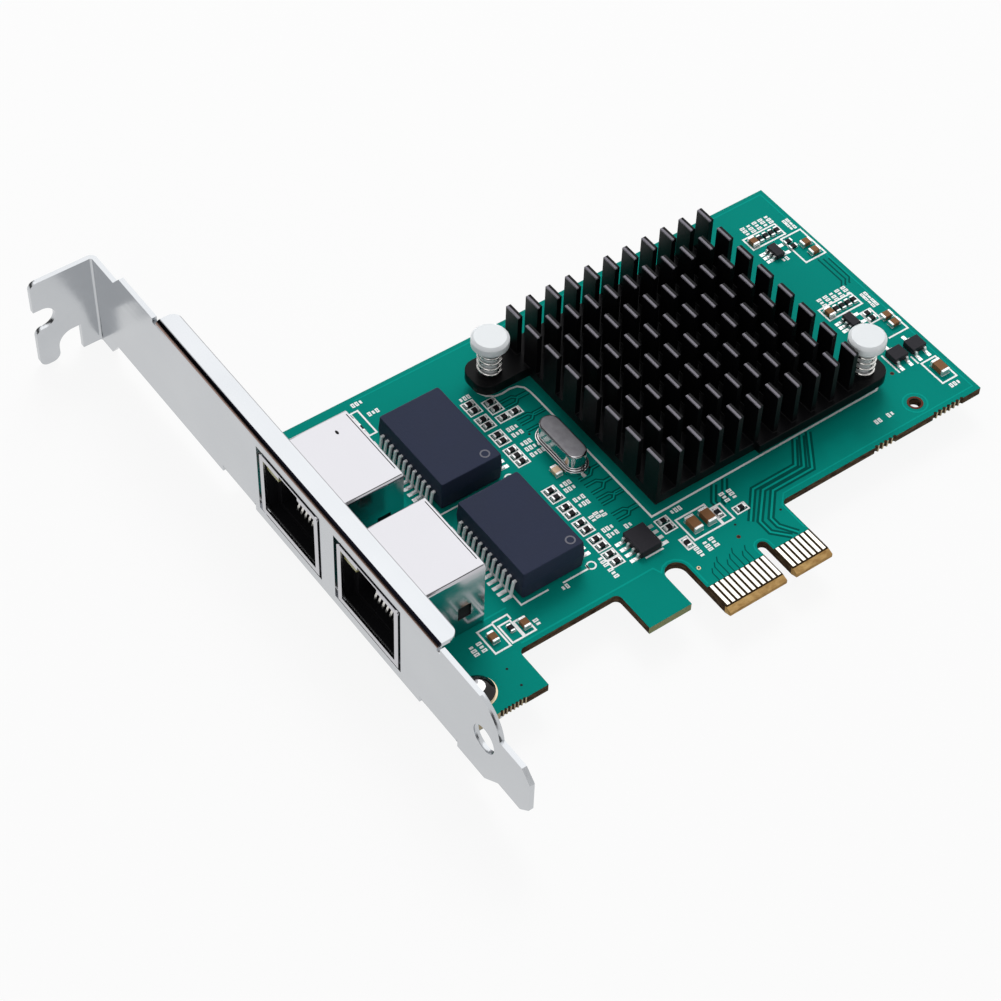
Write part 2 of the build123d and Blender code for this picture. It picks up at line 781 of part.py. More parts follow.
# Crystal: a drawn can on an oblong base with a foot at each end
with BuildPart() as crystal_base_plate:
    with BuildSketch(Plane.XY.offset(crystal_foot_thickness)):
        with Locations((crystal_x, crystal_y)):
            SlotOverall(crystal_length, crystal_width, rotation=90)
    extrude(amount=crystal_base - crystal_foot_thickness)
save(crystal_base_plate, "crystal_base")
with BuildPart() as crystal_can:
    with BuildSketch(Plane.XY.offset(crystal_base)):
        with Locations((crystal_x, crystal_y)):
            SlotOverall(crystal_can_length, crystal_can_width, rotation=90)
    extrude(amount=crystal_height - crystal_base)
    fillet(crystal_can.edges().group_by(Axis.Z)[-1], radius=crystal_can_width / 8)
save(crystal_can, "crystal_can")
with BuildPart() as crystal_feet:
    with BuildSketch(Plane.XY):
        for way in (-1, 1):
            with Locations((crystal_x, crystal_y + way * crystal_length / 2)):
                Rectangle(crystal_foot_width, 2 * crystal_foot_length)
    extrude(amount=crystal_foot_thickness)
save(crystal_feet, "crystal_feet")


def chip_body(places, width, length, height):
    # Plain moulded bodies standing just off the board.
    with BuildPart() as bodies:
        with BuildSketch(Plane.XY.offset(chip_stand)):
            with Locations(*places):
                Rectangle(width, length)
        extrude(amount=height - chip_stand)
    return bodies


def small_leads(ends, outward, height):
    # Leads of the small packages, which leave the body at half its height.
    lead_z = (height + chip_stand) / 2
    return lead_row(
        ends, outward, lead_z, small_lead_reach, small_lead_foot, small_lead_thickness, small_lead_width
    )


# Memory chip
save(chip_body([(flash_x, flash_y)], flash_width, flash_length, flash_height), "flash_chip")
flash_rows = column(flash_y, flash_pitch, 4)
with BuildPart() as flash_leads:
    for way in (-1, 1):
        ends = [(flash_x + way * flash_width / 2, row, 0) for row in flash_rows]
        add(small_leads(ends, (way, 0, 0), flash_height))
save(flash_leads, "flash_leads")

# Two drivers: three leads on one side, two on the other
driver_places = [(driver_x, driver_near_y), (driver_x, driver_far_y)]
save(chip_body(driver_places, driver_width, driver_length, driver_height), "driver_chips")
with BuildPart() as driver_leads:
    for x, y in driver_places:
        three = [(x - driver_width / 2, row, 0) for row in column(y, driver_pitch, 3)]
        two = [(x + driver_width / 2, row, 0) for row in column(y, 2 * driver_pitch, 2)]
        add(small_leads(three, (-1, 0, 0), driver_height))
        add(small_leads(two, (1, 0, 0), driver_height))
save(driver_leads, "driver_leads")

# Two regulators: two leads towards the contacts, one away from them
regulator_places = [(regulator_near_x, regulator_y), (regulator_far_x, regulator_y)]
save(chip_body(regulator_places, regulator_width, regulator_depth, regulator_height), "regulators")
with BuildPart() as regulator_leads:
    for x, y in regulator_places:
        pair = [(lead_x, y - regulator_depth / 2, 0) for lead_x in column(x, regulator_pitch, 2)]
        add(small_leads(pair, (0, -1, 0), regulator_height))
        add(small_leads([(x, y + regulator_depth / 2, 0)], (0, 1, 0), regulator_height))
save(regulator_leads, "regulator_leads")


def chip_parts(groups):
    # The bodies and the end caps of chip parts, for pairs of a size and its places.
    with BuildPart() as middles:
        for (length, width, height, cap), places in groups:
            with BuildSketch(Plane.XY):
                for x, y, turned in places:
                    with Locations(Location((x, y), 90 if turned else 0)):
                        Rectangle(length - 2 * cap, width)
            extrude(amount=height)
    with BuildPart() as caps:
        for (length, width, height, cap), places in groups:
            with BuildSketch(Plane.XY):
                for x, y, turned in places:
                    with Locations(Location((x, y), 90 if turned else 0)):
                        with Locations(((cap - length) / 2, 0), ((length - cap) / 2, 0)):
                            Rectangle(cap, width)
            extrude(amount=height)
    return middles, caps


# Chip capacitors and chip resistors
capacitor_bodies, capacitor_ends = chip_parts([(medium_chip, medium_places), (large_chip, large_places)])
save(capacitor_bodies, "chip_capacitors")
save(capacitor_ends, "capacitor_ends")
resistor_bodies, resistor_ends = chip_parts([(small_chip, resistor_places)])
save(resistor_bodies, "chip_resistors")
save(resistor_ends, "resistor_ends")

# Plated rings round the screw holes and the spare hole
with BuildPart() as plated_rings:
    with BuildSketch(Plane.XY):
        with Locations(*[(ear_x, y) for y in ear_rows]):
            Circle(screw_ring_radius)
            Circle(screw_radius + screw_clearance, mode=Mode.SUBTRACT)
        with Locations((spare_hole_x, spare_hole_y)):
            Circle(spare_ring_radius)
            Circle(spare_hole_radius, mode=Mode.SUBTRACT)
    extrude(amount=pad_thickness)
save(plated_rings, "plated_rings")

# Solder joints of the jacks under the board
joint_places = []
for y in jack_rows:
    for i, row in enumerate(column(y, contact_pitch, contact_count)):
        joint_places.append((jack_pin_x[i % 2], row))
    for side in (-1, 1):
        joint_places.append((can_tail_x, y + side * (jack_width - can_sheet) / 2))
        joint_places.append((lamp_pin_x, y + lamp_y + side * lamp_pin_pitch / 2))
with BuildPart() as one_joint:
    with BuildSketch(Plane.XY.offset(board_low)):
        RegularPolygon(joint_radius, 6)
    with BuildSketch(Plane.XY.offset(board_low - joint_height)):
        RegularPolygon(joint_tip_radius, 6)
    loft(ruled=True)
with BuildPart() as solder_joints:
    with Locations(*joint_places):
        add(one_joint.part)
save(solder_joints, "solder_joints")
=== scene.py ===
import bmesh
import bpy
import math
from mathutils import Matrix, Vector


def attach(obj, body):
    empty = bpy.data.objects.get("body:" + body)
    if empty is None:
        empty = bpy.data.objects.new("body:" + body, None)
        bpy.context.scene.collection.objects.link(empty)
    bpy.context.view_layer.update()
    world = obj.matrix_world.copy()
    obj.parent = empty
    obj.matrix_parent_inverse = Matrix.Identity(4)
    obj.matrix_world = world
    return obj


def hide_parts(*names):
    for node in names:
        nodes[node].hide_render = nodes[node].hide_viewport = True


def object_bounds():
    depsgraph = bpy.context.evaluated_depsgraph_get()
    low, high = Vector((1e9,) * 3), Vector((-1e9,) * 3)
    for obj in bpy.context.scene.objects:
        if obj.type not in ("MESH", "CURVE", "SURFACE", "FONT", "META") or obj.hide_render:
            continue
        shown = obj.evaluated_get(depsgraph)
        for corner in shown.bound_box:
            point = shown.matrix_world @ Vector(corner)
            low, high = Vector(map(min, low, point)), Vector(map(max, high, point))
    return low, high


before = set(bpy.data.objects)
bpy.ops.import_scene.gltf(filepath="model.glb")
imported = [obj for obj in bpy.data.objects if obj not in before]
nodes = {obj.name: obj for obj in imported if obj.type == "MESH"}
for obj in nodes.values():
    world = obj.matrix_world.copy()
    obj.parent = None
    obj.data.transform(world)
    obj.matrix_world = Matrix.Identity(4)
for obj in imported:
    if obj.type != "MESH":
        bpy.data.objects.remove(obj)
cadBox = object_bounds()
print("card loaded:", len(nodes), "pieces")


# A socket that takes part in plain arithmetic, each step adding its Math node
class Value:
    def __init__(self, look, socket):
        self.look = look
        self.socket = socket

    def maths(self, operation, *terms):
        return self.look.add("ShaderNodeMath", {"operation": operation}, *terms)

    def __add__(self, other):
        return self.maths("ADD", self, other)

    def __radd__(self, other):
        return self.maths("ADD", other, self)

    def __sub__(self, other):
        return self.maths("SUBTRACT", self, other)

    def __rsub__(self, other):
        return self.maths("SUBTRACT", other, self)

    def __mul__(self, other):
        return self.maths("MULTIPLY", self, other)

    def __rmul__(self, other):
        return self.maths("MULTIPLY", other, self)

    def __truediv__(self, other):
        return self.maths("DIVIDE", self, other)

    def __rtruediv__(self, other):
        return self.maths("DIVIDE", other, self)

    def __gt__(self, other):
        return self.maths("GREATER_THAN", self, other)

    def __lt__(self, other):
        return self.maths("LESS_THAN", self, other)

    def __abs__(self):
        return self.maths("ABSOLUTE", self)

    # A mask that is 1 between two bounds
    def within(self, low, high):
        return (self > low) * (self < high)

    # How far into its cell of a row a place lies, from 0 to 1
    def inRow(self, start, pitch):
        return self.maths("FRACT", (self - start) / pitch)


# A tree of shader nodes, of a material or of the world
class Look:
    def __init__(self, tree):
        self.tree = tree

    def add(self, kind, settings, *terms, output=0, sockets=None):
        node = self.tree.nodes.new(kind)
        for key, value in settings.items():
            setattr(node, key, value)
        for socket, term in [*enumerate(terms), *(sockets or {}).items()]:
            if isinstance(term, Value):
                self.tree.links.new(term.socket, node.inputs[socket])
            elif isinstance(term, tuple) and len(node.inputs[socket].default_value) == 4:
                node.inputs[socket].default_value = (*term, 1.0)
            else:
                node.inputs[socket].default_value = term
        return Value(self, node.outputs[output])

    def ray(self, kind):
        return self.add("ShaderNodeLightPath", {}, output=f"Is {kind} Ray")

    def blend(self, share, low, high):
        return self.add("ShaderNodeMix", {}, sockets={0: share, 2: low, 3: high})


# One finish: a Principled shader and the nodes that vary it over the surface
class Finish(Look):
    def __init__(self, name, colour, roughness, metallic=0.0, **fixed):
        self.material = bpy.data.materials.new(name)
        self.material.use_nodes = True
        super().__init__(self.material.node_tree)
        self.shader = self.tree.nodes["Principled BSDF"]
        self.shader.inputs["Base Color"].default_value = (*colour, 1.0)
        self.shader.inputs["Roughness"].default_value = roughness
        self.shader.inputs["Metallic"].default_value = metallic
        for label, value in fixed.items():
            self.shader.inputs[label.replace("_", " ")].default_value = value
        self.places = self.add("ShaderNodeTexCoord", {}, output="Object")

    def feed(self, label, value):
        self.tree.links.new(value.socket, self.shader.inputs[label])

    def noise(self, scale, detail=3.0, stretch=(1.0, 1.0, 1.0)):
        spread = self.add("ShaderNodeMapping", {}, self.places, sockets={"Scale": stretch})
        settings = {"Vector": spread, "Scale": scale, "Detail": detail, "Roughness": 0.55}
        return self.add("ShaderNodeTexNoise", {}, sockets=settings)

    def blendColours(self, mask, low, high):
        settings = {"data_type": "RGBA"}
        return self.add("ShaderNodeMix", settings, output=2, sockets={0: mask, 6: low, 7: high})

    def along(self, axis):
        return self.add("ShaderNodeSeparateXYZ", {}, self.places, output=axis)

    def bump(self, height, distance):
        settings = {"Height": height, "Distance": distance, "Strength": 1.0}
        self.feed("Normal", self.add("ShaderNodeBump", {}, sockets=settings))


# A finish with fine grain: its colour and gloss drift a little, and its surface is slightly rough
def grained(name, colour, roughness, metallic, grain=900.0, depth=0.00002, spread=0.12, **fixed):
    finish = Finish(name, colour, roughness, metallic, **fixed)
    drift = finish.noise(grain / 12)
    fine = finish.noise(grain, detail=4.0)
    low = tuple(c * (1 - spread) for c in colour)
    high = tuple(min(1.0, c * (1 + spread)) for c in colour)
    finish.feed("Base Color", finish.blendColours(drift, low, high))
    finish.feed("Roughness", roughness * 0.8 + drift * (roughness * 0.4))
    finish.bump(fine, depth)
    return finish


# Nickel-plated sheet of the bracket, with faint rolling streaks along it
plate = {
    "dark": (0.47, 0.487, 0.51), "pale": (0.575, 0.59, 0.607), "streak": (900.0, 14.0, 900.0),
    "foldLow": (0.30, 0.20, 0.17), "foldHigh": (0.006, 0.006, 0.010), "foldChange": 0.00034,
    "foldRise": 0.0154, "foldDepth": 0.00086, "foldStart": 0.01035, "foldEnd": 0.08755,
    "rim": (0.27, 0.27, 0.28), "rimDepth": 0.00383, "rimRise": 0.0150,
    "cloudSize": 60.0, "cloudShare": 0.6, "streakShare": 0.4,
    "gloss": 0.13, "glossDrift": 0.14, "depth": 0.000006,
}
plated = Finish("platedSheet", plate["pale"], 0.2, 1.0)
streaks = plated.noise(1.0, 4.0, plate["streak"])
clouds = plated.noise(plate["cloudSize"])
drift = clouds * plate["cloudShare"] + streaks * plate["streakShare"]
sheetColour = plated.blendColours(drift, plate["dark"], plate["pale"])
# Painted by place: a painted reflection, the dark band that the round fold mirrors in the photo, and a
# painted shade line, the flange's grey rim
deep, along, high = (plated.along(axis) for axis in range(3))
fold = (high > plate["foldRise"]) * (deep < plate["foldDepth"])
fold = fold * along.within(plate["foldStart"], plate["foldEnd"])
paintedFoldReflection = plated.blendColours(deep > plate["foldChange"], plate["foldLow"], plate["foldHigh"])
rim = (deep > plate["rimDepth"]) * (high > plate["rimRise"])
sheetWithRimShade = plated.blendColours(rim, sheetColour, plate["rim"])
plated.feed("Base Color", plated.blendColours(fold, sheetWithRimShade, paintedFoldReflection))
plated.feed("Roughness", plate["gloss"] + streaks * plate["glossDrift"])
plated.bump(streaks, plate["depth"])

# Solder mask over copper; bare laminate shows between the contacts, painted near black there as shade,
# and its fibres on every cut edge
board = {
    "copper": (0.0008, 0.228, 0.192), "lighter": (0.0012, 0.262, 0.210), "bare": (0.03, 0.018, 0.009),
    "edge": (0.13, 0.085, 0.05), "fibre": (0.02, 0.013, 0.010), "tan": (0.62, 0.52, 0.34),
    "bevel": (0.64, 0.42, 0.17), "bevelFibre": (0.33, 0.18, 0.06), "hook": (0.27, 0.29, 0.15),
    "top": -0.00006, "under": -0.00151, "margin": 0.00005, "bevelTop": 0.00135,
    "tongueLeft": 0.0472, "tongueRight": 0.0675, "padsTop": 0.0057,
    "footTeeth": 0.0125, "footLow": 0.00493, "edgeLow": 0.01253, "hookLow": 0.0047,
    "middleTeeth": (0.0873, 0.0913), "farTeeth": (0.0998, 0.1058), "hookEdge": (0.0347, 0.0435),
    "cloudSize": 70.0, "weaveSize": 700.0, "weaveStretch": (1.0, 1.0, 3.0), "weaveContrast": 2.5,
    "gloss": 0.34, "cutGloss": 0.4, "glossSize": 1500.0, "glossDrift": 0.08,
    "grain": 2600.0, "depth": 0.00001,
}
soldermask = Finish("solderMask", board["copper"], 0.4, 0.0, Specular_IOR_Level=0.02)
across, up, level = (soldermask.along(axis) for axis in range(3))
cut = level.within(board["under"], board["top"])
betweenPads = (up < board["padsTop"]) * across.within(board["tongueLeft"], board["tongueRight"])
clouds = soldermask.noise(board["cloudSize"], 5.0)
green = soldermask.blendColours(clouds, board["copper"], board["lighter"])
weave = soldermask.noise(board["weaveSize"], 4.0, board["weaveStretch"])
weave = (weave - 0.5) * board["weaveContrast"] + 0.5
fibres = soldermask.blendColours(weave, board["fibre"], board["edge"])
bevelFibres = soldermask.blendColours(weave, board["bevelFibre"], board["bevel"])
# Where the board was broken out of its panel the teeth's ends are tan
edgeTeeth = across.within(*board["middleTeeth"]) + across.within(*board["farTeeth"])
teeth = (across < board["footTeeth"]) * (up < board["footLow"]) + edgeTeeth * (up < board["edgeLow"])
hook = across.within(*board["hookEdge"]) * (up < board["hookLow"])
bevelled = across.within(board["tongueLeft"] - board["margin"], board["tongueRight"] + board["margin"])
fibres = soldermask.blendColours(teeth, fibres, board["tan"])
fibres = soldermask.blendColours(hook, fibres, board["hook"])
fibres = soldermask.blendColours(bevelled * (up < board["bevelTop"]), fibres, bevelFibres)
# Partly painted shade: the bare laminate between the contacts is near black, as if the gaps lay in
# shade
topside = soldermask.blendColours(betweenPads, green, board["bare"])
soldermask.feed("Base Color", soldermask.blendColours(cut, topside, fibres))
glossDrift = soldermask.noise(board["glossSize"]) * board["glossDrift"]
soldermask.feed("Roughness", board["gloss"] + cut * board["cutGloss"] + glossDrift)
soldermask.bump(soldermask.noise(board["grain"], 2.0), board["depth"])

# The other finishes: name, colour, roughness, share of metal, then what differs from plain grain
rolled = {"grain": 700.0, "depth": 0.000008, "spread": 0.03}
matt = {"Specular_IOR_Level": 0.1}
masked = {"Specular_IOR_Level": 0.02}
deepGrain = {"depth": 0.00003, **matt}
soft = {"Subsurface_Weight": 0.15, "Subsurface_Radius": (0.002, 0.002, 0.002)}
recipes = {
    "shield": ("shieldPlate", (0.50, 0.495, 0.52), 0.16, 1.0, rolled),
    "gold": ("goldPlate", (0.90, 0.87, 0.78), 0.3, 1.0, {"spread": 0.05}),
    "comb": ("contactPlate", (0.86, 0.84, 0.80), 0.25, 1.0, {"spread": 0.08}),
    "tin": ("tinPlate", (0.84, 0.84, 0.84), 0.28, 0.75, {}),
    "lead": ("leadPlate", (0.90, 0.90, 0.91), 0.3, 0.05, {"spread": 0.1}),
    "ring": ("ringPlate", (0.62, 0.50, 0.34), 0.3, 1.0, {"spread": 0.2}),
    "solder": ("solder", (0.66, 0.66, 0.66), 0.24, 1.0, {"spread": 0.2}),
    "housing": ("jackMoulding", (0.006, 0.006, 0.007), 0.42, 0.0, {"grain": 1400.0, **matt}),
    "lamp": ("lampWindow", (0.34, 0.33, 0.12), 0.2, 0.0, {"spread": 0.05}),
    "module": ("moduleMoulding", (0.023, 0.029, 0.056), 0.5, 0.0, {"grain": 2200.0, **deepGrain}),
    "moduleInk": ("moduleInk", (0.17, 0.17, 0.20), 0.6, 0.0, matt),
    "chip": ("chipMoulding", (0.022, 0.021, 0.026), 0.45, 0.0, {"grain": 2600.0, **deepGrain}),
    "sink": ("anodisedSink", (0.0028, 0.0028, 0.0034), 0.36, 0.0, {"grain": 1500.0, **matt}),
    "pad": ("thermalPad", (0.32, 0.32, 0.34), 0.7, 0.0, {}),
    "pin": ("pinMoulding", (0.80, 0.83, 0.85), 0.34, 0.0, {"spread": 0.03, **soft}),
    "wire": ("springWire", (0.70, 0.68, 0.66), 0.16, 1.0, {"spread": 0.1}),
    "can": ("crystalCan", (0.55, 0.54, 0.55), 0.2, 1.0, {}),
    "base": ("crystalBase", (0.72, 0.71, 0.71), 0.16, 1.0, {"spread": 0.1}),
    "capacitor": ("capacitorBody", (0.20, 0.10, 0.045), 0.4, 0.0, {"grain": 1800.0, **matt}),
    "resistor": ("resistorBody", (0.010, 0.010, 0.012), 0.3, 0.0, matt),
    "screw": ("screwSteel", (0.5, 0.49, 0.48), 0.16, 1.0, {}),
    "ink": ("printedInk", (0.99, 0.98, 0.98), 0.6, 0.0, {"spread": 0.01, **matt}),
    "track": ("maskedTrack", (0.002, 0.33, 0.27), 0.35, 0.0, {"spread": 0.06, **masked}),
    # The masked laminate's dark green also fills the small chips' outlines as painted shade
    "clearing": ("maskedLaminate", (0.0004, 0.085, 0.072), 0.4, 0.0, {"spread": 0.15, **masked}),
    "shade": ("seamShade", (0.012, 0.012, 0.013), 0.5, 0.0, matt),
}
finishes = {key: grained(*recipe, **extras) for key, (*recipe, extras) in recipes.items()}

# The crystal's can is matt and darker on top
can = {
    "top": 0.00412, "side": (0.55, 0.54, 0.55), "dark": (0.13, 0.128, 0.14),
    "pale": (0.24, 0.235, 0.25), "speck": 900.0, "gloss": 0.16, "topGloss": 0.3,
}
look = finishes["can"]
top = look.along(2) > can["top"]
matTop = look.blendColours(look.noise(can["speck"]), can["dark"], can["pale"])
look.feed("Base Color", look.blendColours(top, can["side"], matTop))
look.feed("Roughness", can["gloss"] + top * can["topGloss"])

# The spare hole's ring is dull, and the screws' are bright
rings = {"change": 0.05, "bright": (0.62, 0.50, 0.34), "dull": (0.075, 0.022, 0.014)}
look = finishes["ring"]
spare = look.along(0) > rings["change"]
look.feed("Base Color", look.blendColours(spare, rings["bright"], rings["dull"]))

# One capacitor by the crystal is paler than the others
brown = {
    "dark": (0.17, 0.075, 0.03), "pale": (0.26, 0.13, 0.06), "sand": (0.80, 0.58, 0.40),
    "sandAcross": (0.0405, 0.0435), "sandUp": (0.036, 0.0386), "cloudSize": 300.0,
}
look = finishes["capacitor"]
lone = look.along(0).within(*brown["sandAcross"]) * look.along(1).within(*brown["sandUp"])
earth = look.blendColours(look.noise(brown["cloudSize"]), brown["dark"], brown["pale"])
look.feed("Base Color", look.blendColours(lone, earth, brown["sand"]))

# Painted highlight: a bright line along each fin's top, on its side towards the bracket
fins = {
    "crest": 0.01225, "start": 0.04936, "pitch": 0.00391, "share": 0.115,
    "black": (0.0028, 0.0028, 0.0034), "lighter": (0.20, 0.19, 0.22),
}
look = finishes["sink"]
side = look.along(0).inRow(fins["start"], fins["pitch"]) < fins["share"]
crest = (look.along(2) > fins["crest"]) * side
look.feed("Base Color", look.blendColours(crest, fins["black"], fins["lighter"]))

# Painted shade: the contacts' flanks are dark beside their bright tops
contacts = {"start": 0.04735, "pitch": 0.001, "half": 0.29}
contacts.update({"top": (0.90, 0.87, 0.78), "flank": (0.035, 0.02, 0.012)})
look = finishes["gold"]
flank = abs(look.along(0).inRow(contacts["start"], contacts["pitch"]) - 0.5) > contacts["half"]
look.feed("Base Color", look.blendColours(flank, contacts["top"], contacts["flank"]))

# Painted by place: the dark domes and bright crowns that the screws mirror in the photo
screws = {"low": 0.0004, "high": 0.0015, "steel": (0.5, 0.49, 0.48), "dark": (0.035, 0.033, 0.032)}
screws["crown"] = (0.85, 0.85, 0.85)
look = finishes["screw"]
height = look.along(2)
dome = look.blendColours(height.within(screws["low"], screws["high"]), screws["steel"], screws["dark"])
look.feed("Base Color", look.blendColours(height > screws["high"], dome, screws["crown"]))

dressed = {
    "bracket": plated, "bracket_screws": finishes["screw"], "circuit_board": soldermask,
    "edge_contacts": finishes["gold"], "plated_rings": finishes["ring"],
    "solder_joints": finishes["solder"], "heat_sink": finishes["sink"],
    "thermal_pad": finishes["pad"], "controller_chip": finishes["chip"],
    "crystal_can": finishes["can"], "crystal_base": finishes["base"], "crystal_feet": finishes["tin"],
    "flash_chip": finishes["chip"], "flash_leads": finishes["tin"],
    "driver_chips": finishes["chip"], "driver_leads": finishes["tin"],
    "regulators": finishes["chip"], "regulator_leads": finishes["tin"],
    "chip_capacitors": finishes["capacitor"], "capacitor_ends": finishes["tin"],
    "chip_resistors": finishes["resistor"], "resistor_ends": finishes["tin"],
}
for side in ("left", "right"):
    dressed[f"push_pin_{side}"] = finishes["pin"]
    dressed[f"push_pin_spring_{side}"] = finishes["wire"]
for number in (1, 2):
    dressed[f"jack_shield_{number}"] = finishes["shield"]
    dressed[f"jack_housing_{number}"] = finishes["housing"]
    dressed[f"jack_contacts_{number}"] = finishes["comb"]
    dressed[f"jack_lamps_{number}"] = finishes["lamp"]
    dressed[f"magnetics_body_{number}"] = finishes["module"]
    dressed[f"magnetics_leads_{number}"] = finishes["lead"]
for name, finish in dressed.items():
    nodes[name].data.materials.clear()
    nodes[name].data.materials.append(finish.material)
print("finishes given to", len(dressed), "pieces")

# Softened edges on the folded and moulded pieces: the width in millimetres
softened = {
    "bracket": 0.12, "heat_sink": 0.26, "circuit_board": 0.05, "magnetics_body_1": 0.25,
    "magnetics_body_2": 0.25, "flash_chip": 0.1, "driver_chips": 0.08, "regulators": 0.08,
    "jack_shield_1": 0.06, "jack_shield_2": 0.06, "push_pin_left": 0.15, "push_pin_right": 0.15,
    "chip_capacitors": 0.06, "capacitor_ends": 0.08, "resistor_ends": 0.05, "chip_resistors": 0.03,
}
for name, width in softened.items():
    nodes[name].modifiers.new("weld", "WELD").merge_threshold = 0.000001
    edges = nodes[name].modifiers.new("soften", "BEVEL")
    edges.width = width / 1000
    edges.segments = 2
    edges.limit_method = "ANGLE"
    edges.angle_limit = math.radians(40)
print("edges softened on", len(softened), "pieces")


# Corners of each separate part of a CAD piece, in millimetres, as (low, high) along x, y and z
def partsOf(name):
    shape = bmesh.new()
    shape.from_mesh(nodes[name].data)
    bmesh.ops.remove_doubles(shape, verts=shape.verts, dist=0.000002)
    found = []
    waiting = set(shape.verts)
    while waiting:
        group = [waiting.pop()]
        for vert in group:
            near = [edge.other_vert(vert) for edge in vert.link_edges]
            group += [other for other in near if other in waiting]
            waiting.difference_update(near)
        places = [[vert.co[axis] for vert in group] for axis in range(3)]
        found.append([(min(row) * 1000, max(row) * 1000) for row in places])
    shape.free()
    return sorted(found)


# A line of even width along a path of board places in millimetres, mitred at its corners
def layLine(shape, path, width, low, high, closed=False):
    places = [Vector(place) for place in path]
    rungs = []
    for index, place in enumerate(places):
        arrive = (place - places[index - 1]).normalized() if index or closed else None
        leave = arrive
        if closed or index + 1 < len(places):
            leave = (places[(index + 1) % len(places)] - place).normalized()
        arrive = arrive or leave
        middle = (arrive + leave).normalized()
        side = Vector((-middle.y, middle.x)) * (width / 2 / max(0.35, middle.dot(leave)))
        ends = [shape.verts.new((*(place + side * sign), low)) for sign in (1, -1)]
        rungs.append(shape.edges.new(ends))
    if closed:
        rungs.append(rungs[0])
    faces = []
    for pair in zip(rungs, rungs[1:]):
        faces += bmesh.ops.contextual_create(shape, geom=list(pair))["faces"]
    grown = bmesh.ops.extrude_face_region(shape, geom=faces)["geom"]
    corners = [item for item in grown if isinstance(item, bmesh.types.BMVert)]
    bmesh.ops.translate(shape, verts=corners, vec=(0, 0, high - low))


# A flat block between two corners, in millimetres
def layBlock(shape, low, high):
    size = Vector(high) - Vector(low)
    verts = bmesh.ops.create_cube(shape, size=1.0)["verts"]
    bmesh.ops.scale(shape, verts=verts, vec=size)
    bmesh.ops.translate(shape, verts=verts, vec=(Vector(high) + Vector(low)) / 2)


# An outline round (left, bottom, right, top)
def layBox(shape, box, width, low, high):
    left, bottom, right, top = box
    corners = [(left, bottom), (right, bottom), (right, top), (left, top)]
    layLine(shape, corners, width, low, high, closed=True)


# Places on a circle at the angles given
def onCircle(x, y, radius, angles):
    return [(x + radius * math.cos(angle), y + radius * math.sin(angle)) for angle in angles]


def allRound(count):
    return [math.tau * i / count for i in range(count)]


def addPiece(name, shape, finish, *standsFor):
    bmesh.ops.scale(shape, verts=shape.verts, vec=(0.001, 0.001, 0.001))
    bmesh.ops.recalc_face_normals(shape, faces=shape.faces)
    mesh = bpy.data.meshes.new(name)
    shape.to_mesh(mesh)
    shape.free()
    mesh.materials.append(finish.material)
    piece = bpy.data.objects.new(name, mesh)
    bpy.context.scene.collection.objects.link(piece)
    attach(piece, "root")
    if standsFor:
        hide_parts(*standsFor)
    return piece


# What lies on the board starts a little inside it
sunk = -0.005

# Pads that carry the leads and the chips' end caps: they reach out past each a little
padding = {"height": 0.02, "step": 0.0005, "around": 0.03, "past": 0.75, "under": 0.95, "beside": 0.12}
solderPads = bmesh.new()
caps = partsOf("resistor_ends") + partsOf("capacitor_ends")
for number, (x, y, z) in enumerate(caps, 1):
    rise = padding["height"] + padding["step"] * (number % 7)
    low = (x[0] - padding["around"], y[0] - padding["around"], sunk)
    layBlock(solderPads, low, (x[1] + padding["around"], y[1] + padding["around"], rise))
leaded = ["magnetics_leads_1", "magnetics_leads_2", "flash_leads", "driver_leads", "regulator_leads"]
for name in leaded:
    leads = partsOf(name)
    alongX = leads[0][0][1] - leads[0][0][0] > leads[0][1][1] - leads[0][1][0]
    axis = 0 if alongX else 1
    middle = sum(sum(lead[axis]) for lead in leads) / len(leads) / 2
    for lead in leads:
        length = (lead[axis][0] - padding["past"], lead[axis][0] + padding["under"])
        if sum(lead[axis]) / 2 > middle:
            length = (lead[axis][1] - padding["under"], lead[axis][1] + padding["past"])
        width = (lead[1 - axis][0] - padding["beside"], lead[1 - axis][1] + padding["beside"])
        x, y = (length, width) if alongX else (width, length)
        layBlock(solderPads, (x[0], y[0], sunk), (x[1], y[1], padding["height"]))
addPiece("solderPads", solderPads, finishes["tin"])

# The last contact on the printed side runs on up to the others' ends
tail = {"shortest": 5, "end": 5.6, "overlap": 0.05, "below": 0.001}
contactTail = bmesh.new()
for x, y, z in partsOf("edge_contacts"):
    if z[1] > 0 and y[1] < tail["shortest"]:
        low = (x[0], y[1] - tail["overlap"], sunk)
        layBlock(contactTail, low, (x[1], tail["end"], z[1] - tail["below"]))
addPiece("contactTail", contactTail, finishes["gold"])

# White printing: the sink's outline, open lines, boxes round chips and rings at first pins
printing = {
    "width": 0.31, "high": 0.03, "step": 0.0007,
    "sinkWidth": 0.36, "sinkHigh": 0.031, "sinkTurn": (138.8, 83.4),
    "chipWidth": 0.24, "chipStep": 0.0006, "chipHalf": (0.68, 0.34),
    "insideHigh": 0.0045, "insideStep": 0.0004, "ringWidth": 0.26, "ringRadius": 0.72,
    "bar": 0.25, "tall": 0.85, "pitch": 0.74, "labelHigh": 0.034, "labelStep": 0.0006,
    "signWidth": 0.22, "signInset": 0.08, "solidShare": 0.8,
}
sinkLeft = [(43.5, 61.6), (42.2, 60.7), (41.6, 59.4), (41.65, 58.0), (42.25, 56.8), (43.4, 55.95)]
sinkLeft += [(44.75, 55.75), (46.3, 55.9), (47.6, 55.65), (48.45, 54.8), (48.7, 53.5), (48.75, 51.5)]
sinkLeft.append((48.75, 21.55))
sinkRight = [(printing["sinkTurn"][0] - x, printing["sinkTurn"][1] - y) for x, y in sinkLeft]
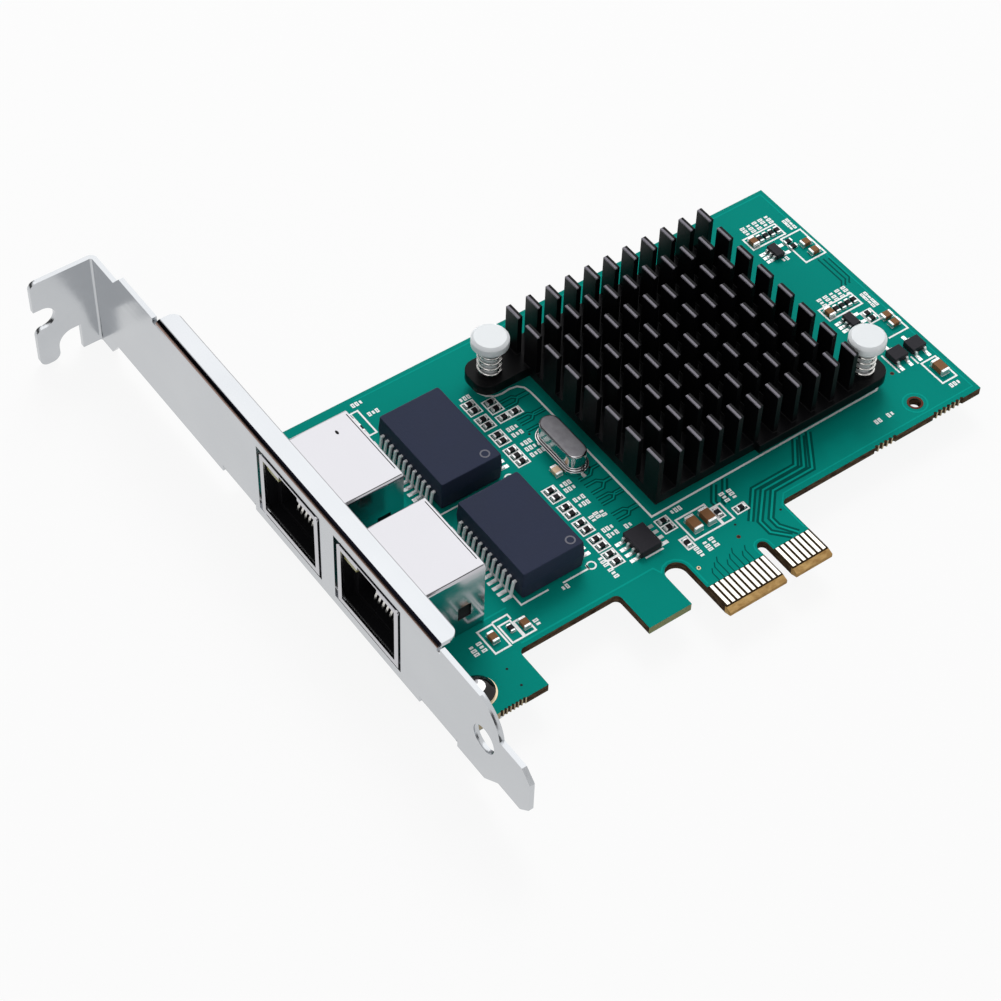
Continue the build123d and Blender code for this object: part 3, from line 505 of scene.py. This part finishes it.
openLines = [
    [(104.7, 29.4), (108.9, 29.4), (108.9, 34.3), (106.9, 34.3)],
    [(101.05, 27.1), (101.05, 22.5)], [(104.95, 24.2), (104.95, 22.3)],
    [(42.9, 15.55), (46.4, 15.55)], [(16.2, 18.9), (19.0, 18.9), (19.0, 17.9)],
]
for y in (28.4, 49.8):
    openLines.append([(21.85, y + 9.2), (21.85, y - 9.25), (27.0, y - 9.25)])
    openLines.append([(29.6, y - 9.45), (34.5, y - 9.45), (34.5, y - 8.7)])
boxes = [
    (104.8, 50.75, 109.1, 57.5), (105.3, 16.75, 108.35, 22.0), (51.35, 14.0, 57.0, 18.85),
    (57.2, 14.0, 59.2, 17.6), (13.3, 13.9, 16.1, 18.7), (16.6, 14.1, 18.7, 17.8),
    (18.95, 14.1, 20.9, 17.2), (22.0, 60.4, 23.4, 65.9), (99.3, 58.1, 106.3, 61.0),
    (99.2, 38.0, 106.3, 40.9), (104.5, 33.6, 106.6, 36.4), (49.4, 13.1, 50.8, 15.4),
]
printed = bmesh.new()
shadeInsides = bmesh.new()
layLine(printed, sinkLeft + sinkRight, printing["sinkWidth"], sunk, printing["sinkHigh"], closed=True)
for path in openLines:
    layLine(printed, path, printing["width"], sunk, printing["high"])
for index, box in enumerate(boxes):
    layBox(printed, box, printing["width"], sunk, printing["high"] + printing["step"] * (index % 5 + 1))
# The small chips between the crystal and the memory have a printed outline each, filled with a dark
# patch of painted shade round the chip
for index, (x, y, z) in enumerate(partsOf("chip_resistors")):
    if 30 < x[0] < 65 and not 49 < x[0] < 51.5 or 49 < x[0] < 50 and y[0] > 17:
        long, wide = printing["chipHalf"]
        if x[1] - x[0] <= y[1] - y[0]:
            long, wide = wide, long
        box = (x[0] - long, y[0] - wide, x[1] + long, y[1] + wide)
        high = printing["high"] + printing["chipStep"] * (index % 6)
        inside = printing["insideHigh"] + printing["insideStep"] * (index % 6)
        layBox(printed, box, printing["chipWidth"], sunk, high)
        layBlock(shadeInsides, (box[0], box[1], sunk), (box[2], box[3], inside))
for y in (19.2, 40.6):
    circle = onCircle(35.2, y, printing["ringRadius"], allRound(16))
    layLine(printed, circle, printing["ringWidth"], sunk, printing["high"], closed=True)
addPiece("printedOutlines", printed, finishes["ink"])
addPiece("outlineInsideShade", shadeInsides, finishes["clearing"])

# Labels as rows of short bars and boxes: place, length and whether they run along the bracket
labels = [(100.9 + 1.3 * i, 62.4, 2.2, True) for i in range(5)]
labels += [(100.8 + 1.3 * i, 41.9, 2.2, True) for i in range(5)]
labels += [(108.35, 60.4 - 0.92 * i, 1.6, False) for i in range(3)]
labels += [(107.9, 39.4 - 0.92 * i, 1.6, False) for i in range(4)]
labels += [(60.6, 18.2, 2.0, True), (62.0, 18.1, 2.0, True), (52.3, 12.0, 2.2, True)]
labels += [(53.6, 12.1, 2.2, True), (50.5, 11.8, 2.0, True), (37.1, 18.7, 2.0, True)]
labels += [(37.1, 16.1, 2.0, True), (21.9, 15.2, 1.6, True), (10.9, 16.1, 2.2, True)]
labels += [(12.3, 16.1, 2.2, True), (40.95, 26.5, 1.8, True), (41.95, 26.7, 1.8, True)]
labels += [(42.95, 26.5, 1.8, True), (102.4, 53.4, 1.6, False), (106.9, 15.6, 2.2, False)]
labels += [(44.7, 22.3, 1.4, False), (52.7, 20.5, 2.0, False), (24.1, 67.2, 2.2, False)]
labels += [(25.3, 64.2, 2.2, False), (39.1, 58.3, 2.2, False)]
heights = [48.8, 47.4, 45.1, 43.8, 42.4, 34.6, 33.4, 31.0, 29.7, 23.6, 22.3]
labels += [(41.7, y, 2.2, False) for y in heights]
labels += [(29.4, 18.1, 1.5, False), (91.1, 16.5, 1.6, False), (93.7, 16.5, 1.6, False)]
marks = bmesh.new()
for number, (x, y, length, turned) in enumerate(labels):
    signs = max(2, round(length / printing["pitch"]))
    for place in range(signs):
        step = (place - (signs - 1) / 2) * printing["pitch"]
        x1, y1 = (x, y + step) if turned else (x + step, y)
        wide, tall = (printing["bar"], printing["tall"] / 2)
        if turned:
            wide, tall = tall, wide
        high = printing["labelHigh"] + printing["labelStep"] * (place + number % 3)
        if (number + place) % 3:
            inset = printing["signInset"]
            box = (x1 - wide + inset, y1 - tall + inset, x1 + wide - inset, y1 + tall - inset)
            layBox(marks, box, printing["signWidth"], sunk, high)
        else:
            wide, tall = wide * printing["solidShare"], tall * printing["solidShare"]
            layBlock(marks, (x1 - wide, y1 - tall, sunk), (x1 + wide, y1 + tall, high))
addPiece("printedLabels", marks, finishes["ink"])
print("printing laid:", len(labels), "labels")

# Cleared strips where the mask lies on bare laminate, and the tracks that run in them
wiring = {
    "cleared": 0.006, "thinCleared": 0.0062, "laid": 0.012, "alone": 0.0125, "rimHigh": 0.0135,
    "busGap": 1.15, "bus": 0.34, "pairGap": 0.8, "pair": 0.22, "far": 0.3, "fingers": 0.2,
    "edge": 0.3, "key": 0.22, "border": 0.24, "rim": 0.28,
    "busGapStep": 0.0008, "busStep": 0.0006, "pairGapStep": 0.0007, "pairStep": 0.0005,
    "farStep": 0.0005, "fingersStep": 0.0004,
}
bus = [
    [(78.9, 21.2), (75.0, 15.9), (66.6, 15.9), (62.1, 11.2), (62.1, 8.6), (64.4, 6.1)],
    [(80.3, 21.2), (75.9, 14.9), (67.8, 14.9), (63.9, 10.7), (63.9, 8.9), (65.7, 6.1)],
    [(77.5, 21.2), (74.1, 16.9), (65.4, 16.9), (60.9, 12.0)],
    [(63.1, 21.2), (60.2, 17.6), (60.2, 16.9)], [(60.9, 21.2), (58.6, 18.4), (58.6, 17.7)],
]
clearings = bmesh.new()
tracks = bmesh.new()
for index, path in enumerate(bus):
    layLine(clearings, path, wiring["busGap"], sunk, wiring["cleared"] + wiring["busGapStep"] * index)
    layLine(tracks, path, wiring["bus"], sunk, wiring["laid"] + wiring["busStep"] * index)
for index, y in enumerate([54.3, 52.9, 49.9, 48.6, 46.9, 33.9, 32.4, 30.6, 29.2, 27.9, 25.4, 24.0]):
    start = 43.3 if y > 46 else 43.9
    jog = 0.9 if index % 2 else -0.8
    path = [(start, y), (start + 2.2, y), (start + 3.1, y + jog), (48.4, y + jog)]
    cleared = wiring["cleared"] + wiring["pairGapStep"] * (index % 5)
    laid = wiring["laid"] + wiring["pairStep"] * (index % 5)
    layLine(clearings, path, wiring["pairGap"], sunk, cleared)
    layLine(tracks, path, wiring["pair"], sunk, laid)
for index in range(3):
    x = 106.9 + index * 0.85
    path = [(x, 50.2 - index * 0.4), (x, 44.0), (x - 0.8, 43.1), (x - 0.8, 42.8)]
    cleared = wiring["thinCleared"] + wiring["farStep"] * index
    layLine(clearings, path, wiring["far"], sunk, cleared)
for index in range(8):
    x = 49.6 + index
    bend = index % 3 * 0.7
    path = [(x, 5.7), (x, 7.4 + bend), (x + 0.5, 8.2 + bend)]
    cleared = wiring["thinCleared"] + wiring["fingersStep"] * index
    layLine(clearings, path, wiring["fingers"], sunk, cleared)
roundSlot = onCircle(45.25, 10.65, 2.45, (2.6, 2.1, 1.6, 1.1, 0.6, 0.2, 0.0))
roundKey = onCircle(59.35, 7.15, 1.4, (3.1, 2.5, 1.95, 1.4, 0.85, 0.3, 0.0))
border = [(67.1, 6.4), (67.1, 11.8), (68.8, 13.55), (108.9, 13.55), (108.9, 68.0), (24.0, 68.0)]
lowerEdge = [(17.6, 13.35), (42.6, 13.35)] + roundSlot + [(47.7, 6.2)]
keyEdge = [(57.95, 6.0)] + roundKey + [(60.75, 6.0)]
footEdge = [(14.6, 20.05), (19.6, 20.05)]
for path, width in ((lowerEdge, "edge"), (keyEdge, "key"), (border, "border"), (footEdge, "edge")):
    layLine(tracks, path, wiring[width], sunk, wiring["alone"])
holeRim = onCircle(98.7, 16.1, 2.05, allRound(24))
layLine(tracks, holeRim, wiring["rim"], sunk, wiring["rimHigh"], closed=True)
addPiece("maskedClearings", clearings, finishes["clearing"])
addPiece("maskedTracks", tracks, finishes["track"])

# Small through holes: dark mouths of painted shade, some in a plated ring
holes = {
    "ringed": [(57.4, 10.7), (48.45, 9.4), (99.9, 23.1)],
    "bare": [(13.05, 10.7), (13.1, 7.1), (58.5, 12.9), (66.3, 11.2), (43.2, 46.2), (43.1, 36.1),
             (46.9, 35.2)],
    "ring": (0.36, 0.024), "ringMouth": (0.2, 0.028), "mouth": (0.22, 0.018),
    "taper": 0.92, "sides": 12,
}
eyelets = bmesh.new()
mouths = bmesh.new()
discs = [(eyelets, place, holes["ring"]) for place in holes["ringed"]]
discs += [(mouths, place, holes["ringMouth"]) for place in holes["ringed"]]
discs += [(mouths, place, holes["mouth"]) for place in holes["bare"]]
for shape, (x, y), (radius, high) in discs:
    disc = {"radius1": radius, "radius2": radius * holes["taper"], "depth": high}
    verts = bmesh.ops.create_cone(shape, cap_ends=True, segments=holes["sides"], **disc)["verts"]
    bmesh.ops.translate(shape, verts=verts, vec=(x, y, high / 2))
addPiece("throughHoles", eyelets, finishes["ring"])
addPiece("throughHoleMouths", mouths, finishes["shade"])

# Round wire springs in place of the plain ones: a wire's section carried round and up
coil = {"radius": 1.9, "wire": 0.22, "turns": 4.6, "low": 4.36, "high": 10.02, "steps": 22, "sides": 10}
upright = Matrix.Translation((coil["radius"], 0, coil["low"])) @ Matrix.Rotation(math.pi / 2, 4, "X")
steps = round(coil["turns"] * coil["steps"])
carry = {"cent": (0, 0, 0), "axis": (0, 0, 1), "dvec": (0, 0, (coil["high"] - coil["low"]) / steps)}
carry.update({"angle": -math.tau * coil["turns"], "steps": steps})
for side, (x, y) in {"left": (43.8, 58.2), "right": (93.5, 24.1)}.items():
    spring = bmesh.new()
    bmesh.ops.create_circle(spring, segments=coil["sides"], radius=coil["wire"], matrix=upright)
    bmesh.ops.spin(spring, geom=spring.verts[:] + spring.edges[:], **carry)
    bmesh.ops.holes_fill(spring, edges=[edge for edge in spring.edges if edge.is_boundary], sides=0)
    bmesh.ops.translate(spring, verts=spring.verts, vec=(x, y, 0))
    piece = addPiece(f"pinSpring_{side}", spring, finishes["wire"], f"push_pin_spring_{side}")
    piece.data.shade_smooth()

# First-pin rings on the modules
pinRing = {"radius": 0.72, "width": 0.24, "low": 6.03, "high": 6.07}
pinRings = bmesh.new()
for x, y in ((31.8, 42.7), (32.4, 21.3)):
    circle = onCircle(x, y, pinRing["radius"], allRound(18))
    layLine(pinRings, circle, pinRing["width"], pinRing["low"], pinRing["high"], closed=True)
addPiece("firstPinRings", pinRings, finishes["moduleInk"])

# Seams of the folded cans, a dimple on one of them and the groove round the crystal's base; the dimple
# and the groove are dark marks of painted shade
seam = {
    "back": 15.02, "backSpan": (7.0, -6.3), "backWidth": 0.14,
    "side": 7.78, "sideSpan": (4.0, 15.2), "sideWidth": 0.12,
    "low": 13.58, "high": 13.615, "sideHigh": 13.612,
}
dent = {"radius": 0.3, "depth": 0.03, "sides": 14}
dent.update({"place": (11.8, 53.8, 13.6), "shape": (0.8, 1.5, 1.0)})
groove = {"x": 45.1, "y": 40.1, "half": 3.35, "radius": 2.06, "width": 0.2, "low": 0.88, "high": 0.925}
seams = bmesh.new()
for y in (27.9, 49.1):
    back = [(seam["back"], y + reach) for reach in seam["backSpan"]]
    flank = [(x, y - seam["side"]) for x in seam["sideSpan"]]
    layLine(seams, back, seam["backWidth"], seam["low"], seam["high"])
    layLine(seams, flank, seam["sideWidth"], seam["low"], seam["sideHigh"])
halfTurn = [math.pi * i / 10 for i in range(11)]
capsule = onCircle(groove["x"], groove["y"] + groove["half"], groove["radius"], halfTurn)
backTurn = [math.pi + angle for angle in halfTurn]
capsule += onCircle(groove["x"], groove["y"] - groove["half"], groove["radius"], backTurn)
layLine(seams, capsule, groove["width"], groove["low"], groove["high"], closed=True)
disc = {"radius1": dent["radius"], "radius2": dent["radius"], "depth": dent["depth"]}
dimple = bmesh.ops.create_cone(seams, cap_ends=True, segments=dent["sides"], **disc)["verts"]
bmesh.ops.scale(seams, verts=dimple, vec=dent["shape"])
bmesh.ops.translate(seams, verts=dimple, vec=dent["place"])
addPiece("seamLines", seams, finishes["shade"])
print("board details and springs made")

# Studio: a pale floor that shows near white to the camera and in metal, and keeps the shadow
studio = {
    "floor": 0.72, "floorGlow": 0.9, "floorSize": 4.0, "gap": 0.0001, "middle": (0.05, 0.05, 0.0),
    "broad": 6.0, "key": 3.0, "front": 1.0, "room": 0.36, "openSide": 0.3,
    "band": ((0.09, 1.0), (0.12, 0.06), (0.6, 0.06), (0.72, 1.0)),
}
floorMesh = bpy.data.meshes.new("floor")
floorShape = bmesh.new()
bmesh.ops.create_grid(floorShape, x_segments=1, y_segments=1, size=studio["floorSize"])
under = (*studio["middle"][:2], cadBox[0][2] - studio["gap"])
bmesh.ops.translate(floorShape, verts=floorShape.verts, vec=under)
floorShape.to_mesh(floorMesh)
floorShape.free()
floor = bpy.data.objects.new("floor", floorMesh)
bpy.context.scene.collection.objects.link(floor)
floorLook = Finish("paleFloor", (studio["floor"],) * 3, 0.9)
glow = floorLook.add("ShaderNodeEmission", {}, (1.0, 1.0, 1.0), 1.0)
seen = floorLook.ray("Camera") + floorLook.ray("Glossy") + floorLook.ray("Transmission")
surface = floorLook.add("ShaderNodeMixShader", {}, sockets={0: seen * studio["floorGlow"], 2: glow})
floorLook.tree.links.new(floorLook.shader.outputs[0], surface.socket.node.inputs[1])
floorLook.tree.links.new(surface.socket, floorLook.tree.nodes["Material Output"].inputs["Surface"])
floorMesh.materials.append(floorLook.material)

# World: white to the camera, soft for diffuse light; metal sees a white room with a darker band
world = bpy.data.worlds.new("studioRoom")
bpy.context.scene.world = world
world.use_nodes = True
room = Look(world.node_tree)
direction = room.add("ShaderNodeTexCoord", {}, output="Generated")
ahead = room.add("ShaderNodeSeparateXYZ", {}, direction, output=0)
rise = room.add("ShaderNodeSeparateXYZ", {}, direction, output=2)
band = room.add("ShaderNodeValToRGB", {}, rise)
for place, level in studio["band"]:
    band.socket.node.color_ramp.elements.new(place).color = (level, level, level, 1.0)
mirrored = room.blend(ahead > studio["openSide"], band, 1.0)
lit = room.blend(room.ray("Glossy"), studio["room"], mirrored)
shown = room.blend(room.ray("Camera") + room.ray("Transmission"), lit, 1.0)
background = world.node_tree.nodes["Background"]
background.inputs["Color"].default_value = (1.0, 1.0, 1.0, 1.0)
world.node_tree.links.new(shown.socket, background.inputs["Strength"])


# A square soft light that faces the card
def softLight(name, place, size, power):
    lamp = bpy.data.lights.new(name, "AREA")
    lamp.shape = "SQUARE"
    lamp.size = size
    lamp.energy = power
    light = bpy.data.objects.new(name, lamp)
    bpy.context.scene.collection.objects.link(light)
    light.location = place
    facing = Vector(studio["middle"]) - Vector(place)
    light.rotation_euler = facing.to_track_quat("-Z", "Y").to_euler()
    return light


softLight("broadLight", (0.52, 0.66, 0.93), 1.7, studio["broad"])
softLight("keyLight", (0.35, 0.47, 0.62), 0.35, studio["key"]).visible_glossy = False
softLight("frontLight", (-0.45, -0.35, 0.45), 0.5, studio["front"])
print("studio ready")

# Camera at the photograph's angle
view = {
    "place": (-0.12922, -0.17176, 0.3162),
    "right": (0.81034, -0.58545, 0.02457),
    "down": (-0.43698, -0.63171, -0.6403),
    "ahead": (0.39039, 0.50813, -0.76773),
    "lens": 94.753,
    "shift": (-0.00173, -0.00023),
}
lens = bpy.data.cameras.new("camera")
lens.sensor_width = 36.0
lens.lens = view["lens"]
lens.shift_x, lens.shift_y = view["shift"]
lens.clip_start = 0.01
camera = bpy.data.objects.new("camera", lens)
bpy.context.scene.collection.objects.link(camera)
turn = Matrix((view["right"], [-d for d in view["down"]], [-a for a in view["ahead"]])).transposed()
camera.matrix_world = Matrix.Translation(view["place"]) @ turn.to_4x4()
bpy.context.scene.camera = camera
bpy.context.scene.view_settings.view_transform = "Standard"
print("camera set")
